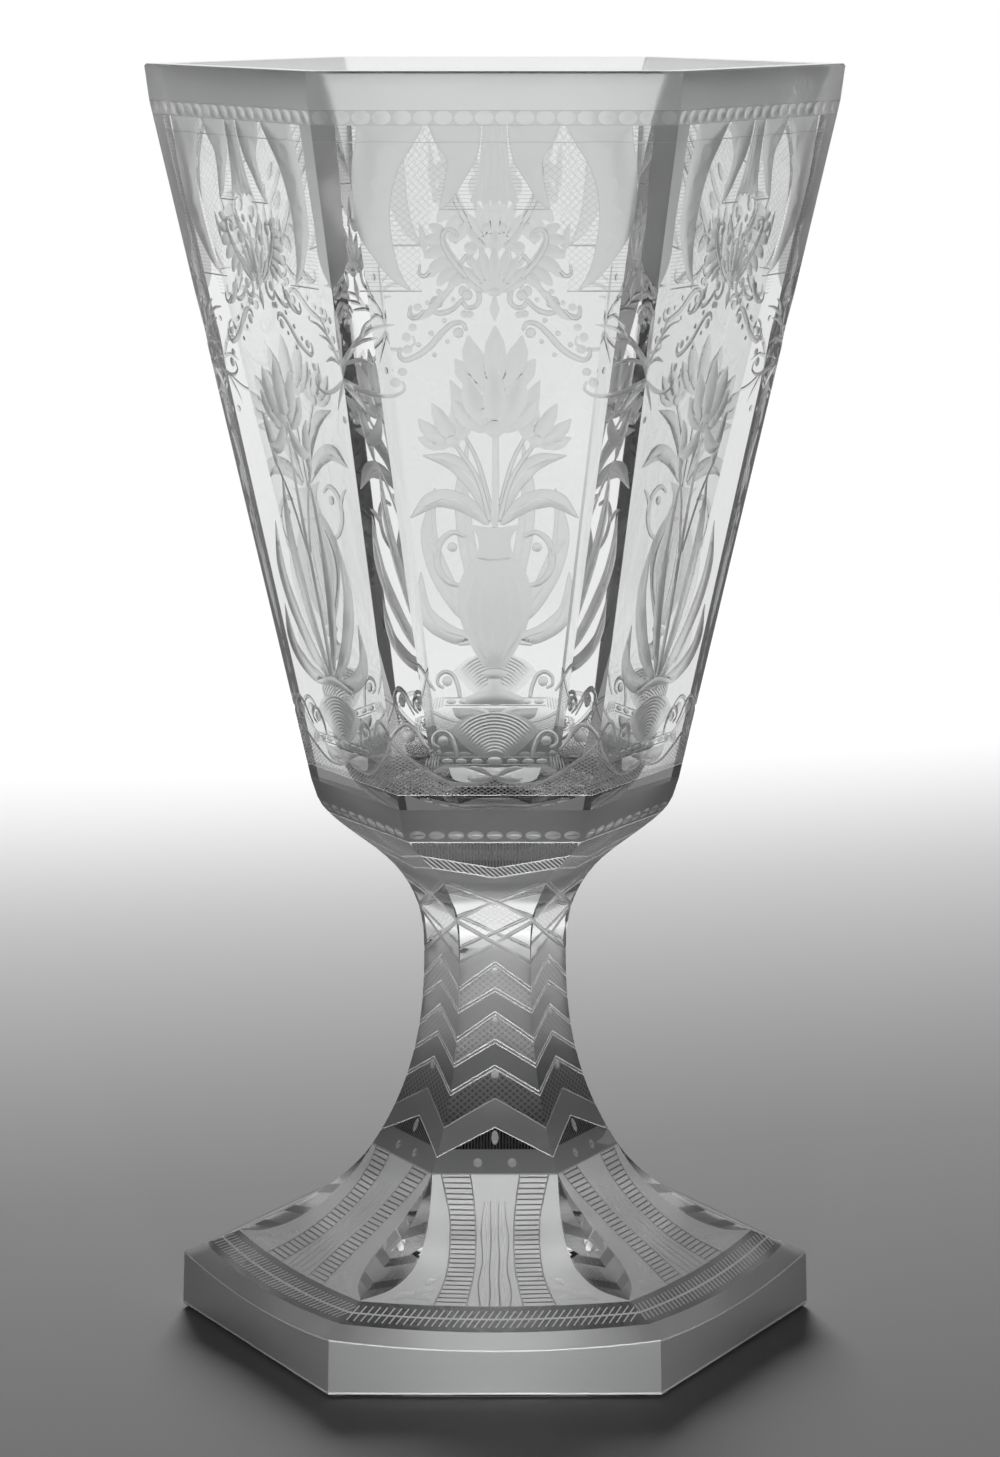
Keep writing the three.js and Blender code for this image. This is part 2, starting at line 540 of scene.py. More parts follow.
polished = {"rough": 0.012, "wander": 0.01, "grain": 0.002, "grainScale": 25.0, "tone": 0.95}
matt = {"rough": 0.34, "wander": 0.05, "grain": 0.004, "grainScale": 2600.0, "tone": 0.93}
silk = {**matt, "grain": 0.0015}
wallLines = {**polished, "lineRough": 0.08, "lineTone": 0.66, "lineDepth": 0.0, "lineClear": 0.92}
footLines = {**polished, "lineRough": 0.35, "lineTone": 0.95, "lineDepth": 0.02, "lineClear": 0.45}
mattLines = {**footLines, **matt, "lineRough": 0.3}
netting = crossed(0.64, 0.77, 0.95, 0.3, 0.2)
looks = {
    "polished": polished,
    "bright": {**polished, "tone": 1.0},
    # painted shade: a dark copy of the polished glass, for the band under the wall and the bars on the flare
    "smoked": {**polished, "tone": 0.25},
    "matt": matt,
    "lip": {**matt, "rough": 0.5, "tone": 1.0},
    "frost": {**matt, "tone": 0.45},
    # painted shade: the stem's matt glass is darker toward the foot and in its lowest bands
    "dusk": {**matt, "tone": 0.85, "shade": (0.036, 0.056, 0.8)},
    "deep": {**matt, "tone": 0.52, "clear": 0.8},
    "dim": {**matt, "tone": 0.56, "clear": 0.84},
    "bloom": {**silk, "tone": 1.0, "clear": 0.44},
    # painted shade: the ground band on the shoulder has a dark tone as well as a coarse grind
    "coarse": {**matt, "rough": 0.55, "tone": 0.24, "clear": 0.85},
    # painted shade: the foot's side and chamfer are darker glass, so they fall dark where the front lamps
    # don't reach
    "satin": {**silk, "rough": 0.3, "tone": 0.36, "clear": 0.38},
    "chamfer": {**silk, "rough": 0.3, "tone": 0.68, "clear": 0.6},
    # painted shade: the ring the foot stands on is ground and near-black, which darkens the floor under and
    # around the foot and the foot's sides
    "ground": {**matt, "rough": 0.3, "tone": 0.1, "clear": 0.95},
    "carved": {**silk, "rough": 0.34, "tone": 0.84, "clear": 0.9},
    "lens": {**silk, "rough": 0.3, "tone": 0.98, "clear": 0.9},
    "cushion": {**silk, "tone": 0.9, "clear": 0.6},
    "beadGround": {**silk, "rough": 0.34, "tone": 0.74, "clear": 0.9},
    "bead": {**silk, "rough": 0.36, "tone": 0.6, "clear": 0.85},
    "line": {**silk, "rough": 0.22, "tone": 1.0, "clear": 0.45},
    "faintLine": {**silk, "rough": 0.3, "tone": 0.98, "clear": 0.78},
    "shadeLine": {**silk, "rough": 0.45, "tone": 0.6, "clear": 0.9},
    # painted shade: darker glass for the hollows of grooves and folds
    "groove": {**silk, "rough": 0.4, "tone": 0.62, "clear": 0.9},
    "crossHatch": {**wallLines, "lineTone": 0.74, "pattern": crossed(0.64, 0.77, 1.0, 0.12, 0.13)},
    "mesh": {**mattLines, "tone": 0.66, "shade": (0.036, 0.056, 0.78), "lineClear": 0.85,
             "lineTone": 0.9, "pattern": netting},
    # painted shade: near-black glass between the netting lines, on a low band of the stem
    "netting": {**mattLines, "tone": 0.18, "clear": 0.9, "lineClear": 0.9, "lineTone": 0.55,
                "pattern": netting},
    "fringe": {**wallLines, "tone": 0.74, "lineRough": 0.4, "lineDepth": 0.006, "lineTone": 0.95,
               "pattern": crossed(0.5, 0.87, 0.62, 0.16, 0.2)},
    "ladder": {**wallLines, "pattern": slanting(0.0, 1.0, 0.7, 0.13, 0.16)},
    "rungs": {**footLines, "tone": 1.0, "rough": 0.1, "clear": 0.45, "lineRough": 0.4,
              "lineTone": 0.1, "lineDepth": 0.0, "lineClear": 0.3,
              "pattern": slanting(0.0, 1.0, 1.1, 0.28, 0.16)},
    # painted shade: a dark copy of the polished glass for the bevel band of the foot
    "bevel": {**polished, "tone": 0.6},
    # painted shade: near-black glass under the fine lines and stripes, on the shoulder and low on the stem
    "fineLines": {**footLines, "tone": 0.1, "lineClear": 0.9, "lineTone": 0.2,
                  "pattern": slanting(1.0, 0.0, 0.62, 0.26, 0.25)},
    "stripes": {**footLines, **matt, "rough": 0.5, "tone": 0.08,
                "pattern": slanting(0.75, 0.66, 0.75, 0.3, 0.25)},
}
finishes = [*looks, "seam"]


def crystal(tree, colour, rough, height, clear):
    bump = tree.add("ShaderNodeBump", values={"Height": height, "Distance": 0.001, "Strength": 1.0})
    return tree.add("ShaderNodeBsdfPrincipled", values={
        "Base Color": colour, "Roughness": rough, "Normal": bump, "IOR": leadGlass["ior"],
        "Transmission Weight": clear})


def glassMaterial(name, look):
    # clear lead glass, ground or polished; a pattern is a mask of engraved lines on that ground
    material, tree = newMaterial(name)
    spot = tree.add("ShaderNodeTexCoord", output="Object")
    cloud = tree.add("ShaderNodeTexNoise", values={
        "Vector": spot, "Scale": leadGlass["cloudScale"], "Detail": 3.0})
    grain = tree.add("ShaderNodeTexNoise", values={
        "Vector": spot, "Scale": look["grainScale"], "Detail": 2.0})
    rough = look["rough"] + (cloud - 0.5) * look["wander"]
    tone = look["tone"] - cloud * leadGlass["cloudTone"]
    if "shade" in look:
        # painted shade: the tone falls off toward the foot, standing in for the shade on the lower stem
        low, high, least = look["shade"]
        level = tree.add("ShaderNodeSeparateXYZ", values={0: spot}, output="Z")
        tone = tone * (least + (1.0 - least) * ((level - low) / (high - low)).clamped())
    colour = tree.add("ShaderNodeCombineColor", values={0: tone * leadGlass["red"], 1: tone, 2: tone})
    shader = crystal(tree, colour, rough, grain * look["grain"], look.get("clear", 1.0))
    if "pattern" in look:
        panel = tree.add("ShaderNodeUVMap", {"uv_map": "panel"})
        across = tree.add("ShaderNodeSeparateXYZ", values={0: panel}, output="X")
        mask = look["pattern"](across, across.beside("Y"))
        cut = crystal(tree, (look["lineTone"],) * 3 + (1.0,), look["lineRough"],
                      mask * -look["lineDepth"], look["lineClear"])
        shader = tree.add("ShaderNodeMixShader", values={0: mask, 1: shader, 2: cut})
    tree.add("ShaderNodeOutputMaterial", values={"Surface": shader})
    return material


def seamMaterial():
    # inside the fused glass nothing is seen, so light goes straight on
    material, tree = newMaterial("fusedSeam")
    spot = tree.add("ShaderNodeTexCoord", output="Object")
    cloud = tree.add("ShaderNodeTexNoise", values={"Vector": spot, "Scale": 60.0})
    colour = tree.add("ShaderNodeMix", {"data_type": "RGBA"},
                      {"Factor": cloud, 6: (1.0, 1.0, 1.0, 1.0), 7: (0.99, 0.99, 0.99, 1.0)},
                      output=2)
    shader = tree.add("ShaderNodeBsdfTransparent", values={"Color": colour})
    tree.add("ShaderNodeOutputMaterial", values={"Surface": shader})
    return material


def repeatTree(materials):
    # presses the drawing in, sets six flats round the axis, two kinds in turn, and paints them
    group = bpy.data.node_groups.new("cutAndRepeat", "GeometryNodeTree")
    for label, way, kind in (("Flat", "INPUT", "Geometry"), ("Other flat", "INPUT", "Object"),
                             ("Cut depth", "INPUT", "Float"), ("Chalice", "OUTPUT", "Geometry")):
        group.interface.new_socket(label, in_out=way, socket_type="NodeSocket" + kind)
    tree = Tree(group)

    def attribute(label, kind):
        return tree.add("GeometryNodeInputNamedAttribute", {"data_type": kind}, {"Name": label})

    given = tree.add("NodeGroupInput")
    amount = attribute("cutDepth", "FLOAT") * given.beside("Cut depth")
    offset = tree.add("ShaderNodeVectorMath", {"operation": "SCALE"},
                      {0: attribute("inward", "FLOAT_VECTOR"), "Scale": amount})
    otherFlat = tree.add("GeometryNodeObjectInfo", values={"Object": given.beside("Other flat")},
                         output="Geometry")
    points = tree.add("GeometryNodePoints", values={"Count": flats})
    index = tree.add("GeometryNodeInputIndex")
    turn = tree.add("ShaderNodeCombineXYZ", values={"Z": index * (2 * math.pi / flats)})
    spin = tree.add("FunctionNodeEulerToRotation", values={0: turn})
    odd = index.join("MODULO", 2.0)
    joined = tree.add("GeometryNodeJoinGeometry")
    for flat, chosen in ((given.beside("Flat"), 1.0 - odd), (otherFlat, odd)):
        pressed = tree.add("GeometryNodeSetPosition", values={"Geometry": flat, "Offset": offset})
        copies = tree.add("GeometryNodeInstanceOnPoints", values={
            "Points": points, "Instance": pressed, "Rotation": spin, "Selection": chosen})
        tree.feed(joined.socket.node.inputs[0], copies)
    made = tree.add("GeometryNodeRealizeInstances", values={0: joined})
    made = tree.add("GeometryNodeMergeByDistance", values={
        "Geometry": made, "Distance": cutting["mergeDistance"]})
    finish = attribute("finish", "INT")
    for i, name in enumerate(finishes):
        mine = tree.add("FunctionNodeCompare", {"data_type": "INT", "operation": "EQUAL"},
                        {2: finish, 3: i})
        made = tree.add("GeometryNodeSetMaterial", values={
            "Geometry": made, "Selection": mine, "Material": materials[name]})
    tree.add("NodeGroupOutput", values={0: made})
    return group


def buildPiece(name, flatA, flatB, materials):
    group = repeatTree(materials)
    modifier = flatA.modifiers.new("repeat", "NODES")
    modifier.node_group = group
    named = {item.name: item.identifier for item in group.interface.items_tree
             if item.in_out == "INPUT"}
    modifier[named["Other flat"]] = flatB
    modifier[named["Cut depth"]] = cutting["depthShare"] * millimetre
    graph = bpy.context.evaluated_depsgraph_get()
    mesh = bpy.data.meshes.new_from_object(flatA.evaluated_get(graph))
    bpy.data.objects.remove(flatA)
    bpy.data.objects.remove(flatB)
    mesh.name = name
    markSharp(mesh)
    piece = bpy.data.objects.new(name, mesh)
    bpy.context.scene.collection.objects.link(piece)
    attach(piece, "root")
    return piece


def markSharp(mesh):
    # smooth inside each drawn shape, sharp along its line and at every arris
    for polygon in mesh.polygons:
        polygon.use_smooth = True
    drawn = np.zeros(len(mesh.polygons), int)
    mesh.attributes["drawn"].data.foreach_get("value", drawn)
    mesh.set_sharp_from_angle(angle=math.radians(cutting["sharpAngle"]))
    sharp = np.zeros(len(mesh.edges), bool)
    attribute = mesh.attributes.get("sharp_edge") or mesh.attributes.new("sharp_edge", "BOOLEAN", "EDGE")
    attribute.data.foreach_get("value", sharp)
    unset = -999
    first = np.full(len(mesh.edges), unset)
    edgeOfLoop = np.zeros(len(mesh.loops), int)
    mesh.loops.foreach_get("edge_index", edgeOfLoop)
    sizes = np.zeros(len(mesh.polygons), int)
    mesh.polygons.foreach_get("loop_total", sizes)
    faceOfLoop = np.repeat(np.arange(len(sizes)), sizes)
    for edge, face in zip(edgeOfLoop, faceOfLoop):
        if first[edge] == unset:
            first[edge] = drawn[face]
        elif first[edge] != drawn[face]:
            sharp[edge] = True
    attribute.data.foreach_set("value", sharp)
    mesh.validate()
    mesh.update()


# The bowl: outline and drawing

bowlSize = {
    "seam": (20.1, 92.0), "seamLean": 0.9,
    "bandFoot": (35.4, 105.8), "bandFootLean": 0.35,
    "wallFoot": (36.6, 109.5), "wallTop": (66.75, 243.0),
    "rim": (67.6, 249.6), "bevel": 0.4,
    "lipWall": 5.3, "lipLeanInside": 0.6, "upperWall": (205.0, 10.8), "floorWall": (120.5, 12.0),
    "floor": 107.5, "floorRoundness": 0.6,
    "shoulderSteps": 24, "wallSteps": 14, "floorSteps": 18, "shoulderRows": (93.5, 105.5, 1.5),
    "rimBeads": 18, "rimBeadPitch": 3.69, "rimBeadLevel": 241.75,
    "beadFoot": 240.4, "underBeads": 237.3,             # lines under the bead row
    "canopyShelf": 225.2, "canopyFoot": 210.2,          # where hatched ground ends
    "fringeFoot": 112.5, "stripesTop": (98.6, 95.8), "stripesFoot": (95.9, 93.3),
    "shoulderBeads": 9, "shoulderBeadPitch": 3.72, "shoulderBeadLevel": 104.2,
    "coarseFoot": 102.4, "shoulderLine": 102.55,
}


def bowlOutline():
    s = bowlSize
    rows = [s["seam"]] + sweep(s["seam"], s["seamLean"], s["bandFoot"], s["bandFootLean"],
                               s["shoulderSteps"])
    return profile(rows + [s["wallFoot"], s["wallTop"], s["rim"]], True)


def bowlInside(outline):
    # plain rings from the lip down to the middle of the floor
    s = bowlSize
    lipIn = s["rim"][0] - s["lipWall"] / flatShare
    rimTop = s["rim"][1] + s["bevel"]
    lean = (s["wallTop"][0] - s["wallFoot"][0]) / (s["wallTop"][1] - s["wallFoot"][1])
    thick, turn = ((float(at(outline, "corner", height)) - wall / flatShare, height)
                   for height, wall in (s["upperWall"], s["floorWall"]))
    rows = [(lipIn + s["bevel"], rimTop), (lipIn, s["rim"][1])]
    rows += sweep(rows[-1], s["lipLeanInside"], thick, lean, s["wallSteps"]) + [turn]
    floor, roundness = s["floor"], s["floorRoundness"]
    pull = (turn[1] - floor) * roundness
    steps = s["floorSteps"]
    for i in range(1, steps):
        rows.append((cubic(turn[0], turn[0] - lean * pull, turn[0] * roundness, 0, i / steps),
                     cubic(turn[1], turn[1] - pull, floor, floor, i / steps)))
    rings = [(*row, "flat", "polished") for row in rows + [(0, floor)]]
    return [(s["rim"][0] - s["bevel"], rimTop, "flat", "lip")] + rings


def beadPlaces(count, pitch):
    return [(i - (count - 1) / 2) * pitch for i in range(count)]


def rimShapes():
    s = bowlSize
    bandFoot, aboveRim, reach = s["wallTop"][1], 260, 70
    made = [band(bandFoot, aboveRim, reach, "lip"), band(s["beadFoot"], bandFoot, reach, "beadGround")]
    for place in beadPlaces(s["rimBeads"], s["rimBeadPitch"]):
        wide = 1.72 if abs(place) < 30 else 1.45    # those beside the arris are narrower
        made.append(oval(place, s["rimBeadLevel"], wide, 1.3, 0.22, "lens"))
    return made


def canopyShapes():
    # hatched ground, a deep horn and a hanging under the bead row, one half
    top, shelf, foot = (bowlSize[name] for name in ("beadFoot", "canopyShelf", "canopyFoot"))
    strip = area([(34, top), (28.6, top)], [(28.6, top), (28.5, 236.5), (27.9, 231), (27.4, 222),
                 (26.7, 216.5), (27.5, 213.3)], [(27.5, 213.3), (29.9, 210.4), (34, 209)], finish="frost")
    made = [area([(28.6, top), (28.5, 236.5), (27.9, 231), (27.4, 222), (26.7, 216.5), (24.6, foot)],
                 [(24.6, foot), (15.2, foot)], [(15.2, foot), (18, 214), (22, 222), (24, 232),
                 (24, top)], finish="ladder")]
    made.append(area([(16, top), (20, 226), (18, 213), (15.2, foot), (13.2, foot)],
                     [(13.2, foot), (13.4, 216), (12.2, 222.5), (10.1, 225.1)],
                     [(10.1, 225.1), (9.4, 228.3), (8.8, 231), (8.7, 234.3), (10.5, 237.1),
                      (11.8, top)], finish="crossHatch"))
    made.append(area([(2.1, top), (9.8, 230), (9.6, shelf)], [(9.6, shelf), (3.3, shelf)],
                     [(3.3, shelf), (2.3, 233), (2.1, top)], finish="ladder"))
    made.append(strip)
    made += edged(area([(24.8, top), (25, 237.1), (25.7, 233.4), (25.6, 226.9), (24.7, 221),
                        (22.2, 216.8), (18.9, 212.6), (15.2, foot)],
                       [(15.2, foot), (17.1, 213.5), (18.2, 217.3), (19, 223.2), (18.6, 228.3),
                        (17.2, 232.9), (14.9, 236.6), (12.8, top)], finish="carved", depth=0.75))
    for place in ((19.4, 234.9), (20.7, 229.5), (21.5, 224.1), (20.8, 219.2)):
        made += over(oval(*place, 1.75, 1.6, -0.14))
    made += edged(area([(11.8, top), (10.5, 237.1), (8.7, 234.3), (8.8, 231), (9.4, 228.3),
                        (10.1, 225.1)],
                       [(10.1, 225.1), (7.8, 226.9), (5.5, 230.6), (3.6, 233.8), (2.7, 237.1),
                        (2.5, top)], finish="carved", depth=0.5))
    made += over(oval(7.6, 236.2, 1.5, 1.3, -0.14), oval(7.2, 232.2, 1.0, 0.95, -0.12))
    made += line([(3.3, shelf), (9.9, shelf)], 0.25, 0.12, "shadeLine")
    made += line([(13.2, foot), (24.6, foot)], 0.25, 0.12, "shadeLine")
    made.append(stroke([(13.6, 222.6), (12.9, 219.6), (12.6, 216.5)], [0.3, 1.7, 0.3], 0.25))
    return made


def columnShapes():
    # a fluted stem with a scalloped lower edge
    half = [(2.2, bowlSize["beadFoot"]), (2.4, 236.5), (2.9, 232), (3.7, 228.6), (4.5, 226.8)]
    lobes = [(4.5 - i * 0.9, 226.8 - (0.0 if i % 2 == 0 else 0.75)) for i in range(11)]
    made = [area(half, lobes, [(-x, t) for x, t in half[::-1]], finish="carved", depth=0.5)]
    for i in (-1.5, -0.5, 0.5, 1.5):
        made += over(stroke([(i * 0.9, 240.2), (i * 1.0, 236), (i * 1.3, 231.5), (i * 1.75, 227.6)],
                            [0.2, 0.24, 0.2], -0.12, "faintLine"))
    return made


def palmetteShapes():
    made = [stroke([(2.6, 210.2), (5, 213), (8.1, 217), (9.5, 220.4)], [1.2, 1.6, 1.4, 0.8], 0.2)]
    for root, tip, width in (((9.2, 220.2), (11.6, 222.2), 2.3), ((9.0, 218.8), (12.6, 219.6), 2.6),
                             ((8.2, 217.2), (12.5, 216.7), 2.7), ((7.2, 215.6), (11.7, 214), 2.6),
                             ((6.2, 214.2), (10.2, 211.5), 2.5), ((5.2, 213), (8.2, 210.7), 2.1)):
        made.append(petal(root, tip, width, 0.12, 0.4, 0.5, 0.45))
    made += scroll([(7.4, 219.4), (6.9, 220.6), (7.8, 221.5), (9.0, 221.3), (9.5, 219.8), (8.7, 217.5),
                    (6.9, 214.9), (4.6, 212.4), (3.1, 210.5), (2.8, 208.6), (3.6, 207.4), (5.0, 207.2),
                    (5.8, 208.2)], [0.8, 0.7, 0.9, 1.0, 0.9, 0.7], (5.0, 209.5), 1.0)
    made.append(oval(7.5, 220.0, 0.95, 0.9, 0.35))
    made += scroll([(5.9, 208.6), (7.8, 206.8), (10.2, 206.1), (11.6, 207.3), (11.0, 208.9),
                    (9.6, 208.7)], [0.7, 0.9, 0.8, 0.5], (10.2, 207.9), 0.7)
    made.append(petal((9.6, 210.2), (14.6, 204.9), 1.5, -0.15, 0.3))
    made += scroll([(12.9, 206.6), (14.4, 205.2), (15.6, 205.6), (15.4, 207.0)], [0.5, 0.7, 0.4])
    made.append(stroke([(5.4, 222.9), (3.6, 219.9), (2.0, 218.2)], [0.4, 1.5, 0.7], 0.3))
    made.append(oval(4.3, 218.2, 1.3, 1.2, 0.35))
    made.append(oval(1.6, 221.9, 0.8, 0.85, 0.4))
    made.append(oval(4.6, 205.9, 0.9, 0.7, 0.35))
    return made


def palmetteMiddle():
    lobes, spread, length = 9, 1.15, 8.8
    hub = np.array([0.0, 209.8])
    made = []
    for i in sorted(range(lobes), key=lambda lobe: -abs(lobe - (lobes - 1) / 2)):
        share = 2 * i / (lobes - 1) - 1
        angle = share * spread
        reach = length * (1 - 0.28 * share * share)
        way = np.array([math.sin(angle), math.cos(angle)])
        made.append(petal(hub + way * reach * 0.12, hub + way * reach, 2.0, 0, 0.35))
    made.append(oval(0, 210.0, 1.35, 0.85, 0.4))
    made.append(stroke([(0, 209.0), (0, 207.4), (0, 204.6)], [0.7, 2.0, 0.15], 0.4))
    made.append(petal((0, 218.6), (0, 221.0), 1.6, 0, 0.3, 0.6, 0.6))
    return made


def garlandShapes():
    made = scroll([(5.2, 203.1), (5.9, 204.3), (7.8, 204.1), (9.9, 202.2), (12, 199.8), (14.4, 198.1),
                   (16.5, 197.4), (17.5, 198.4), (17.3, 199.6)], [0.6, 0.9, 1.1, 1.1, 0.9, 0.6],
                  (6.6, 202.5), 0.95)
    for place, radius in (((5.5, 206), 0.8), ((15.9, 199.4), 0.95), ((16.9, 195.2), 0.9),
                          ((9.2, 204.8), 0.55), ((11.6, 202.4), 0.6), ((13.9, 200.3), 0.55),
                          ((8.6, 200.9), 0.5), ((11.0, 198.4), 0.5)):
        made.append(oval(*place, radius, radius * 0.9, 0.35))
    return made


def twigShapes():
    made = []
    for points, widths in (
            ([(28.4, 193.6), (27.9, 196), (26.8, 198.4), (24.4, 201.7), (21.8, 203.4), (18.5, 204)],
             [1.2, 1.1, 0.9, 0.35]),
            ([(25.9, 199.9), (23.8, 201.1), (21.4, 201.5)], [0.6, 0.8, 0.3]),
            ([(28.3, 193.8), (25.2, 192.1), (21.9, 190.9), (18.6, 190.7), (16.5, 191.9),
              (16.9, 193.4)], [1.1, 1.0, 0.8, 0.5]),
            ([(27.9, 193.4), (25.2, 190.2), (23.4, 187.6)], [0.9, 1.0, 0.3]),
            ([(27.6, 196.6), (25.0, 197.4), (22.2, 196.6)], [0.7, 0.9, 0.3]),
            ([(24.6, 201.4), (23.6, 203.9), (21.9, 205.3)], [0.6, 0.8, 0.3]),
            ([(29.1, 206.5), (28.6, 202), (28.2, 196)], [0.3, 0.9, 0.8]),
            ([(27.8, 187.5), (27.9, 190.5), (28.2, 194)], [0.3, 0.9, 0.8])):
        made.append(stroke(points, widths, 0.3, step=0.7))
    for place, radius in (((18.2, 193.2), 1.0), ((25.4, 186.0), 0.75), ((26.8, 204.6), 0.7)):
        made.append(oval(*place, radius, radius, 0.35))
    return made


def blossom(root, heading, length, width):
    made = []
    for off, share in ((-0.95, 0.8), (0.95, 0.8), (-0.48, 0.95), (0.48, 0.95), (0, 1.0)):
        way = np.array([math.sin(heading + off), math.cos(heading + off)]) * length * share
        made.append(petal(np.array(root), np.array(root) + way, width, 0.1 * (off < 0) - 0.1 * (off > 0),
                          0.45, 0.35, 0.12))
    made.append(oval(*root, width * 0.42, width * 0.38, 0.3))
    return made


def urnShapes():
    # a tall two-handled vase with three blossoms, one half
    made = leaf((1.4, 166.5), (15.6, 167.5), 3.6, 0.32)
    made += leaf((1.2, 168), (13.2, 179.4), 3.4, 0.2)
    made += scroll([(0.9, 167), (3.2, 175), (7.2, 181.4)], [0.8, 0.8, 0.7])
    made += blossom((7.6, 182.0), 0.5, 8.2, 3.0)
    made += scroll([(5.6, 154.2), (8.6, 155.0), (10.6, 158.0), (10.4, 162.2), (8.0, 164.6), (5.6, 163.9)],
                   [0.7, 1.2, 1.2, 0.7], (7.9, 161.8), 0.9)
    made.append(petal((10.9, 160), (13.6, 163.2), 1.3, 0.15, 0.3))
    return made


def urnMiddle():
    made = [stroke([(0, 165), (0, 185)], [1.2, 0.9], 0.35)]
    made += blossom((0, 184.4), 0.0, 11.6, 4.2)
    half = [(1.9, 138.2), (4.2, 142.0), (6.3, 147.0), (7.0, 151.6), (6.2, 156.0), (4.0, 159.4), (3.0, 162.0),
            (3.4, 164.2), (5.0, 166.2)]
    made.append(area(half, [(5.0, 166.2), (0, 165.6), (-5.0, 166.2)], [(-x, t) for x, t in half[::-1]],
                     finish="carved", depth=0.8))
    for i in (-2, -1, 0, 1, 2):
        made += over(stroke([(i * 0.8, 139.8), (i * 2.3, 146.4), (i * 2.45, 151.4), (i * 1.7, 156.4)],
                            [0.5, 1.5, 1.5, 0.5], 0.22))
    made += over(stroke([(-3.6, 159.6), (0, 159.0), (3.6, 159.6)], [0.6, 0.7, 0.6], -0.2))
    made.append(oval(0, 136.9, 2.3, 1.1, 0.4))
    made.append(area([(1.2, 136.0), (1.7, 134.3), (5.4, 132.3)], [(5.4, 132.3), (5.6, 130.9)],
                     [(5.6, 130.9), (-5.6, 130.9)], [(-5.6, 130.9), (-5.4, 132.3)],
                     [(-5.4, 132.3), (-1.7, 134.3), (-1.2, 136.0)], finish="carved", depth=0.5))
    return made


def reedShapes():
    # a flowering reed with sword leaves, one half
    made = leaf((1.4, 131.6), (15.2, 145.5), 3.6, -0.3)
    made += leaf((1.0, 132), (12.4, 162.5), 4.0, -0.17)
    made += leaf((0.6, 133), (5.6, 172.5), 3.4, -0.08)
    made += scroll([(0.6, 158), (3.6, 168), (7.4, 175)], [0.7, 0.8, 0.6])
    made += [petal((7.0, 174.2), (9.2, 184.4), 3.2, 0.08, 0.5, 0.4, 0.12)]
    return made


def reedMiddle():
    made = [stroke([(0, 130.8), (0.3, 145), (-0.3, 165), (0, 183)], [1.7, 1.4, 1.2, 0.9], 0.4)]
    made += blossom((0, 182.8), 0.0, 12.6, 4.8)
    for side in (-1, 1):
        made.append(petal((side * 1.0, 182.4), (side * 8.4, 177.8), 3.2, side * -0.22, 0.45, 0.35, 0.2))
    made.append(stroke([(-7.4, 131.0), (0, 132.2), (7.4, 131.0)], [0.6, 1.9, 0.6], 0.35))
    return made


def shellShapes():
    made = [area([(0, 119.8), (4.5, 121.4), (8.6, 125.6)],
                 [(8.6, 125.6), (6.2, 127.9), (3.2, 129.0), (0, 129.3)],
                 [(0, 129.3), (-3.2, 129.0), (-6.2, 127.9), (-8.6, 125.6)],
                 [(-8.6, 125.6), (-4.5, 121.4), (0, 119.8)], finish="matt")]
    for i in range(12):
        radius = 2.0 + 0.66 * i
        spread = 0.98 - 0.012 * i
        points = [(radius * math.sin(a), 119.6 + radius * 1.02 * math.cos(a))
                  for a in np.linspace(-spread, spread, 7)]
        made.append(stroke(points, [0.45, 0.62, 0.62, 0.45], 0.22, step=0.9))
    return made


def baseShapes():
    # scrolls, bead line, bow and swags round the foot of the wall, one half
    foot = bowlSize["fringeFoot"]
    swag = [(20.4, 124.3), (19.9, 123.8), (17.5, 120.9), (13.3, 117.7), (9.1, 115.3), (5.8, 114.8),
            (2.1, 115.3), (0, 116.4)]
    made = [area(swag, [(0, 116.4), (0, foot)], [(0, foot), (24, foot)], [(24, foot), (24, 124)],
                 finish="fringe")]
    made += edged(stroke(swag, [0.6, 0.6, 0.55], 0.25))
    for level in (120.25, 118.75):
        made += line([(-0.1, level), (10.4, level)], 0.25, 0.12, "shadeLine")
    for place in (3.4, 6.4, 9.0):
        made.append(oval(place, 119.5, 1.15, 0.52, 0.3))
    for i in range(5):
        made.append(stroke([(10.6 + i * 0.55, 120.5 - 0.1 * i), (10.9 + i * 0.62, 118.4 - 0.2 * i)],
                           [0.25, 0.3], 0.1))
    made += scroll([(7.2, 120.5), (7.6, 122.6), (8.6, 124.8), (10.2, 125.5), (11.6, 124.6), (11.7, 123.0),
                    (10.6, 122.3)], [0.7, 0.8, 0.7, 0.45], (9.8, 123.6), 1.0)
    made += scroll([(20.2, 123.6), (18.4, 126.0), (16.6, 126.8), (14.8, 125.6), (13.6, 123.4),
                    (12.4, 121.8)], [0.8, 0.8, 0.7, 0.4], (16.3, 124.4), 1.2)
    made.append(petal((0.6, 116.5), (5.4, 118.1), 1.1, 0.1, 0.25, 0.3, 0.1))
    made.append(petal((0.6, 116.3), (5.4, 115.9), 1.0, -0.12, 0.25, 0.3, 0.1))
    return made


def cushion():
    # a soft hollow between the swags and the bead line
    lower = [(8.8, 118.2), (8.0, 116.0), (6.0, 115.2), (3.0, 115.5), (0, 116.6)]
    return area([(-8.8, 118.2), (8.8, 118.2)], lower, [(-x, t) for x, t in lower[::-1]], finish="cushion",
                depth=0.5)


def baseMiddle():
    return [oval(0, 119.5, 1.5, 0.9, 0.4), oval(0, 116.4, 0.8, 0.55, 0.3)]


